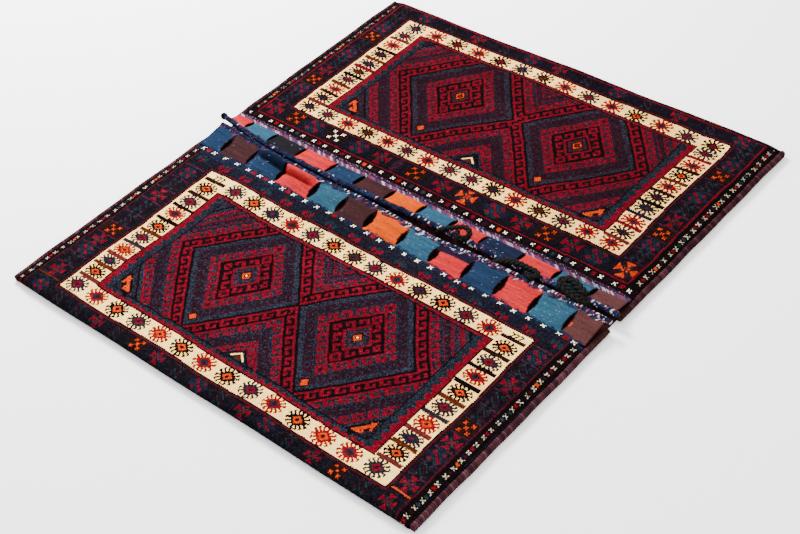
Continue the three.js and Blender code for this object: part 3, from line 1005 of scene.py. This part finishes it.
def make_band(pouch):
    name, side, joint = pouch["name"], pouch["side"], pouch["joint"]
    mouth = abs(pouch["binding"][0]) + 2.0
    half = HALF_WIDTH - WRAP - 0.3
    middle, long, wide = pouch["slit"]
    nd = int((joint + 1 - mouth) / 1.2)
    nu = 34
    ds = np.linspace(mouth, joint + 1.0, nd + 1)
    across = (ds - middle) / (long / 2)
    gape = np.where(abs(across) < 1, wide * 0.42 * np.sqrt(np.clip(1 - across**2, 0, 1)), 0.0)
    edges = [-half, *pouch["slits"], half]
    points, faces, colours = [], [], []
    twine = np.array([linear(c) for c in ((56, 40, 66), (96, 42, 60), (30, 34, 62), (150, 134, 146),
                                          (34, 16, 34))])
    stitches = np.array([linear(c) for c in ((16, 24, 42), (13, 15, 26), (24, 38, 62), (34, 15, 26),
                                             (170, 160, 166), (104, 40, 54))])
    for k, dye in enumerate(PATCHES[name]):
        r = np.random.default_rng(100 * (side + 2) + k)
        left_gape = gape * (0 if k == 0 else r.uniform(0.6, 1.5))
        right_gape = gape * (0 if k == 12 else r.uniform(0.6, 1.5))
        u = np.linspace(0, 1, nu + 1)[None, :]
        x_left = edges[k] + left_gape
        x_right = edges[k + 1] - right_gape
        x = x_left[:, None] * (1 - u) + x_right[:, None] * u
        d = np.repeat(ds[:, None], nu + 1, axis=1)
        z = band_height(pouch, d) + 1.4
        belly = np.sin(np.pi * u) ** 0.7
        inside = np.clip(1 - ((ds - middle) / (long * 0.62)) ** 2, 0, 1)[:, None]
        curl = r.uniform(-3.0, 1.8, 2)
        z = z + inside * (r.uniform(0.8, 3.4) * belly + curl[0] * (1 - u) ** 5 + curl[1] * u**5)
        z = z + sag(x, side * d) * 0.8
        dye_of = np.tile(linear(PATCH_RGB[dye]), (x.size, 1))
        if name == "near":  # braids tucked under the mouth lift the third and fourth patches
            window = 1 / (1 + np.exp(-(x + 345) / 6)) / (1 + np.exp((x + 196) / 6))
            ridge = 31 + 0.03 * (x + 270)
            lift = np.clip((d - ridge) / np.where(d < ridge, 13.0, 10.0), -1, 1)
            hump = 11.0 * window * np.cos(lift * math.pi / 2) ** 0.7
            dip = 2.5 * window * np.exp(-(((d - ridge - 13) / 5.0) ** 2))
            z = z + hump - dip
            # painted shade along the crease below the lift
            painted_crease_shade = window * np.exp(-(((d - ridge - 12) / 3.2) ** 2))
            if k == 2:
                dye_of[(d < ridge + 10).ravel()] = linear((12, 18, 32))
            if k == 8:
                dye_of[(d < 38).ravel()] = linear((22, 17, 34))
            if k == 12:
                tuft = ((x - 441) ** 2 + (d - 56) ** 2 < 26).ravel()
                dye_of[tuft] = linear((165, 46, 0))
        rgb = dye_of
        # darken the colours along the crease: painted shade
        if name == "near":
            rgb = rgb * (1 - 0.75 * painted_crease_shade.reshape(-1, 1))
        # the slit edges are painted dark: partly the dark thread they are bound with, partly painted shade
        # inside the gaping slits, thickest towards their lower ends
        thread_and_shade_width = np.clip(1 - ((ds - middle + 3 * side) / (long * 0.42)) ** 2, 0, 1)[:, None]
        thread_and_shade_width = thread_and_shade_width * (3.4 if side < 0 else 1.6)
        reach = np.minimum(np.where(k == 0, 99, (x - x_left[:, None]) / 0.7),
                           np.where(k == 12, 99, x_right[:, None] - x))
        rgb = np.where((reach < thread_and_shade_width).reshape(-1, 1), linear((17, 9, 13)), rgb)
        y = slant(x, side * d) + bow(pouch, x, d)
        base = sum(len(p) for p in points)
        points.append(np.stack([x, y, z], -1).reshape(-1, 3))
        quads = grid_faces(nd + 1, nu + 1, base)
        faces.append(quads if side > 0 else quads[:, ::-1])
        tone = 1 + 0.13 * waves(x * 0.15, d * 2, 20, 60 + k) + 0.06 * waves(x, d, 8, 61 + k)
        tone = tone + r.normal(0, 0.07, x.shape)
        rgb = rgb * tone.reshape(-1, 1)
        fleck = r.random(len(rgb))
        light, dark = (0.006, 0.002) if dye in ("blue", "teal", "navy") else (0.0006, 0.006)
        rgb[fleck < light] = linear((92, 104, 116))
        rgb[fleck > 1 - dark] = linear((26, 9, 14))
        xf, df = x.ravel(), d.ravel()
        # overcast stitches along the mouth, ragged at their lower edge
        stitch = np.floor((xf + 0.9 * df) / 2.3).astype(int)
        reach = (7.5 if side < 0 else 4.5) + 3.0 * np.sin(stitch * 12.9) + 0.8 * np.sin(xf * 0.2)
        pick = np.random.default_rng(7).choice(6, 2000, p=[0.27, 0.26, 0.21, 0.10, 0.08, 0.08])[stitch % 2000]
        pick = np.where((xf < 60) & (pick == 4) & (stitch % 3 > 0), 1, pick)
        overcast = (df < ds[0] + reach) & (r.random(len(xf)) < 0.85)
        rgb[overcast] = stitches[pick[overcast]]
        if side > 0:  # twined rows where the band meets the pile
            turn = np.floor((xf + 1.5 * df) / 2.4).astype(int)
            turn = np.random.default_rng(17).choice(5, 2000, p=[0.24, 0.27, 0.20, 0.18, 0.11])[turn % 2000]
            twined = df > joint - 7
            rgb[twined] = (twine[turn] * (0.8 + 0.4 * r.random((len(xf), 1))))[twined]
        else:
            frayed = (df > joint - 3 + 2.5 * waves(xf, df, 14, 77)) & (r.random(len(xf)) < 0.75)
            rgb[frayed] = linear((16, 23, 42))
        colours.append(np.clip(rgb, 0.001, 1))
    obj = mesh_object(f"{name}_band", np.vstack(points), np.vstack(faces))
    paint(obj, np.vstack(colours), "POINT")
    obj.data.materials.append(band_mat)
    solid = obj.modifiers.new("thickness", "SOLIDIFY")
    solid.thickness = 2.2 * MM
    solid.offset = -1.0
    return obj


pile_mat = pile_material()
band_mat = flatweave_material("flat_weave", 55, 620, 0.0012)
near_pile = make_pile(NEAR, draw_near, 1.0)
far_pile = make_pile(FAR, draw_far, 0.8)
near_band = make_band(NEAR)
far_band = make_band(FAR)


# ---------------------------------------------------------------- wrapped edges
STITCHES = 4000  # dyes drawn for this many stitches, more than any wrapped bar has
SECTORS = 5  # flecks round a mouth binding


def wrapped_bar(name, line, half_wide, half_high, pitch, bulge, dye_at, twist=0.0, step=1.1, sides=18,
                ragged=0.0, knob=0.0, slim=0.0):
    """A bar wrapped in yarn, slimmer where it begins.
    dye_at(stitch, share of the stitch, angle, run) gives the colours."""
    line = through(line, step)
    run = np.concatenate([[0], np.cumsum(np.linalg.norm(np.diff(line, axis=0), axis=1))])
    side, up = frames(line)
    r = np.random.default_rng(len(name) * 7)
    a = np.arange(sides) * 2 * math.pi / sides
    turn = run[:, None] / pitch + twist * a[None, :] / (2 * math.pi)
    swell = bulge * abs(np.sin(math.pi * turn)) ** 0.6 + ragged * r.normal(0, 1, turn.shape)
    power = 0.75
    cos, sin = np.cos(a), np.sin(a)
    ca, sa = np.sign(cos) * abs(cos) ** power, np.sign(sin) * abs(sin) ** power
    swell = swell + knob * np.exp(-(((run[:, None] - 5) / 5.0) ** 4))
    ra = (half_wide + swell) * ca[None, :]
    ru = (half_high + swell) * sa[None, :] * (1 - slim * np.exp(-((run[:, None] / 52) ** 4)))
    points = line[:, None, :] + side[:, None, :] * ra[:, :, None] + up[:, None, :] * ru[:, :, None]
    points = points.reshape(-1, 3)
    points[:, 2] = np.maximum(points[:, 2], 0.15)
    faces = grid_faces(len(line), sides, closed=True).tolist()
    faces.append(list(range(sides))[::-1])
    faces.append([(len(line) - 1) * sides + k for k in range(sides)])
    obj = mesh_object(f"{name}_yarn", points, faces)
    stitch = np.floor(turn).astype(int)
    rgb = dye_at(stitch, turn - stitch, a[None, :] + 0 * turn, run[:, None] + 0 * turn)
    tone = np.random.default_rng(3).normal(1, 0.10, STITCHES)[stitch % STITCHES][:, :, None]
    rgb = (rgb * tone * r.normal(1, 0.08, (*turn.shape, 1))).reshape(-1, 3)
    paint(obj, np.clip(rgb, 0.001, 1), "POINT")
    obj.data.materials.append(yarn_mat)
    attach(obj, "root")
    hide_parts(name)
    return obj


def scattered(dyes, shares, seed):
    """The colours of a run of stitches whose dyes come in random order."""
    table = np.array([linear(c) for c in dyes])
    order = np.random.default_rng(seed).choice(len(dyes), STITCHES, p=shares)
    return table[order]


def wrap_dyes(plain_until, shade):
    """Rosy brown stitches with painted shade in the grooves between them; the first stretch of a right wrap
    is plain.
    """

    def dye_at(stitch, share, angle, run):
        # painted shade: each stitch darkens towards the grooves at its two ends
        lit = (0.30 + 0.70 * np.sin(math.pi * share) ** 0.8)[:, :, None]
        plain = (run < plain_until)[:, :, None]
        return shade * np.where(plain, linear((48, 27, 27)), SIDE_DYES[stitch % STITCHES] * lit)

    return dye_at


def mouth_dyes(shares, seed, plain_until, knob=0):
    """Dark blue stitches flecked with pale, pink and light blue ones; the left stretch has few of them."""
    table = np.array([linear(c) for c in ((16, 24, 43), (13, 15, 27), (24, 38, 64), (34, 15, 27),
                                          (172, 162, 170), (108, 42, 56))])
    order = np.random.default_rng(seed).choice(len(table), (STITCHES, SECTORS), p=shares)

    def dye_at(stitch, share, angle, run):
        sector = np.floor(angle / (2 * math.pi) * SECTORS + 0.37 * stitch).astype(int) % SECTORS
        pick = order[stitch % STITCHES, sector]
        pick = np.where((run < plain_until) & (pick > 3) & (stitch % 4 > 0), 1, pick)
        return np.where((run < knob)[:, :, None], linear((8, 8, 9)), table[pick])

    return dye_at


yarn_mat = yarn_material()
near_mouth_dyes = mouth_dyes([0.25, 0.21, 0.20, 0.09, 0.15, 0.10], 21, 520)
far_mouth_dyes = mouth_dyes([0.31, 0.27, 0.16, 0.08, 0.11, 0.07], 23, 560, 9)
SIDE_DYES = scattered(
    [(64, 35, 41), (54, 29, 35), (70, 39, 45), (44, 24, 30), (76, 45, 50), (50, 26, 30)],
    [0.2, 0.2, 0.15, 0.2, 0.1, 0.15], 22
)

for pouch in (NEAR, FAR):
    y0, z0 = pouch["binding"]
    near_side = pouch is NEAR
    xs = np.linspace(-490 if near_side else -513, HALF_WIDTH - 1, 26)
    zs = z0 + 0.8 + sag(xs, y0 + 0 * xs) * 0.9
    if near_side:
        ys = slant(xs, y0 + 0 * xs) + ramp(xs, pouch["bow"]) + 1.0 * waves(xs, 0 * xs, 150, 70)
        zs = zs - ramp(xs, [(-400, 1.0), (-300, 3.0), (40, 3.0), (200, 0)])
        bar = wrapped_bar(
            "near_mouth_binding", list(zip(xs, ys, zs)),
            4.2, 3.3, 2.3, 0.5, near_mouth_dyes, 3.0, 0.75, 20, 0.14
        )
    else:
        ys = slant(xs, y0 + 0 * xs) + ramp(xs, pouch["bow"])
        zs = zs + ramp(xs, [(-521, 0), (-400, 0.5), (-300, 1.5), (0, 2.0), (100, 1.0), (500, 0)])
        bar = wrapped_bar("far_mouth_binding", list(zip(xs, ys, zs)), 4.5, 4.5, 2.5, 0.4, far_mouth_dyes,
                          2.0, 0.8, 18, 0.15, 1.9)
    for hand, label in ((-1, "left"), (1, "right")):
        inner = abs(y0) + 4.5 + 0.6
        ds = np.linspace(inner, FOLD - 3.5, 16)
        x = hand * (HALF_WIDTH - WRAP / 2) + 0 * ds
        y = slant(x, pouch["side"] * ds)
        line = list(zip(x + 0.6 * np.sin(ds * 0.05), y, 7.0 + 0.5 * np.sin(ds * 0.031)))
        plain_until = pouch["joint"] - inner if hand > 0 else 0
        dyes = wrap_dyes(plain_until, 1.0 if near_side else 0.7)
        bar = wrapped_bar(f"{pouch['name']}_{label}_wrap", line, 4.7, 6.2, 5.2, 0.9, dyes, 0.8, 0.9, 18,
                          0.08, 0, 0.4)


# ---------------------------------------------------------------- back cloth
def make_back():
    half, end = HALF_WIDTH - WRAP - 0.3, FOLD - LIP - 0.3
    nx, ny = 120, 130
    x, y = np.meshgrid(np.linspace(-half, half, nx), np.linspace(-end, end, ny))
    top = 2.9 + 0.12 * waves(x, y, 60, 90)
    upper = np.stack([x, y, top], -1).reshape(-1, 3)
    lower = np.stack([x, y, 0 * x + 0.1], -1).reshape(-1, 3)
    faces = np.vstack([grid_faces(ny, nx), grid_faces(ny, nx, len(upper))[:, ::-1]]).tolist()
    n = len(upper)
    rim = [*range(nx), *[nx * k + nx - 1 for k in range(1, ny)],
           *[nx * (ny - 1) + k for k in range(nx - 2, -1, -1)], *[nx * k for k in range(ny - 2, 0, -1)]]
    for a, b in zip(rim, rim[1:] + rim[:1]):
        faces.append([a, n + a, n + b, b])
    obj = mesh_object("back_weave", np.vstack([upper, lower]), faces)
    stripe = np.mod(np.floor((x.ravel() + 500) / 62), 4).astype(int)
    dyes = np.array([linear(c) for c in ((50, 27, 28), (45, 24, 26), (53, 29, 29), (42, 22, 24))])
    rgb = dyes[stripe]
    paint(obj, np.vstack([rgb, rgb]), "POINT")
    obj.data.materials.append(back_mat)
    return obj


back_mat = flatweave_material("plain_weave", 60, 480, 0.0010)
back = make_back()

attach(near_pile, "root")
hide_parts("near_face")
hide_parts("near_face")
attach(far_pile, "root")
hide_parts("far_face")
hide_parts("far_face")
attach(near_band, "root")
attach(far_band, "root")
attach(back, "root")
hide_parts("back_cloth")


# ---------------------------------------------------------------- floor and light
def floor_and_light():
    mesh = bpy.data.meshes.new("floor")
    mesh.from_pydata([(-9, -9, 0), (9, -9, 0), (9, 9, 0), (-9, 9, 0)], [], [(0, 1, 2, 3)])
    floor = bpy.data.objects.new("floor", mesh)
    bpy.context.scene.collection.objects.link(floor)
    n = Nodes("floor")
    n.shader.inputs["Base Color"].default_value = (0.93, 0.93, 0.93, 1)
    n.shader.inputs["Roughness"].default_value = 0.9
    mesh.materials.append(n.material)
    world = bpy.data.worlds.new("world")
    world.use_nodes = True
    world.node_tree.nodes["Background"].inputs["Color"].default_value = (1, 1, 1, 1)
    world.node_tree.nodes["Background"].inputs["Strength"].default_value = 2.2
    bpy.context.scene.world = world
    for name, place, size, power in (
        ("key", (-2.0, 0.9, 1.9), 0.9, 300), ("fill", (2.2, -1.2, 2.4), 2.4, 24),
    ):
        lamp = bpy.data.lights.new(name, "AREA")
        lamp.size = size
        lamp.energy = power
        obj = bpy.data.objects.new(name, lamp)
        bpy.context.scene.collection.objects.link(obj)
        obj.location = place
        obj.rotation_euler = (Vector((0, 0, 0)) - obj.location).to_track_quat("-Z", "Y").to_euler()


floor_and_light()
